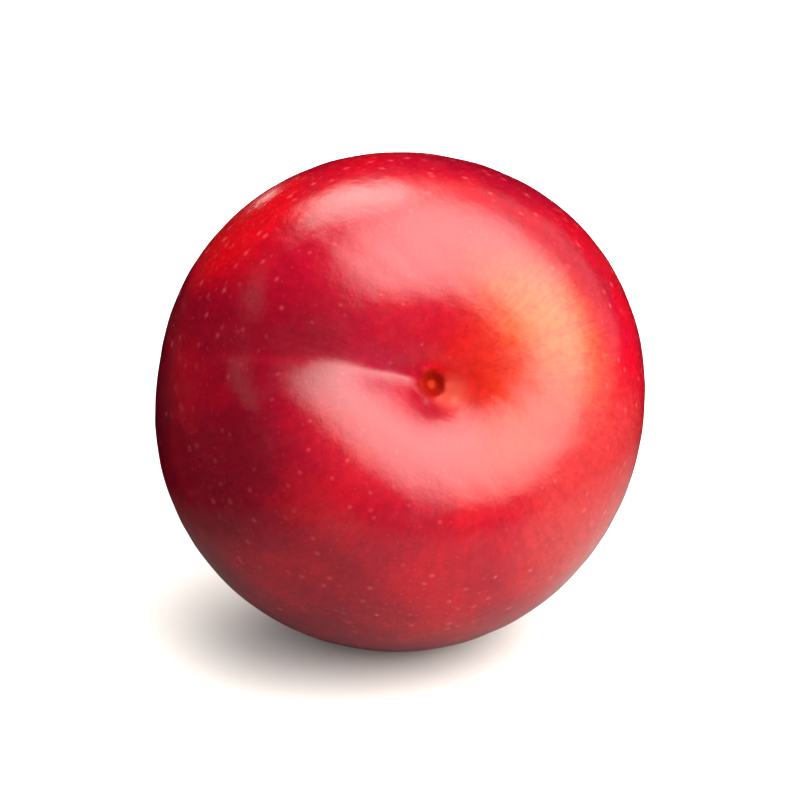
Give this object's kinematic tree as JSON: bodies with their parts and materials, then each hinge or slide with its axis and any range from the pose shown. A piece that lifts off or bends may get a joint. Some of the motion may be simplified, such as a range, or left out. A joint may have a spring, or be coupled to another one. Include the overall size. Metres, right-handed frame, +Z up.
{
  "type": "plum",
  "caption": "Whole ripe red plum lying on its side, with a stem cavity, stem scar and shallow suture; rests on a small flat spot.",
  "frame": {"origin": "centre of the small flat resting spot under the fruit, on the surface it rests on", "axes": "+Z up; -Y is the front, where the stem cavity looks out, about 28 degrees above the horizontal and 14 degrees towards +X; +X is to the right seen from the front; the suture runs from the stem cavity towards -X"},
  "size_m": [0.0596, 0.061, 0.0608],
  "materials": {
    "skin": "smooth waxy fruit skin, glossy, crimson with a golden blush at the stem, pale pinpoint lenticels and a faint bloom"
  },
  "bodies": {
    "root": {"plum": "skin"}
  },
  "joints": []
}
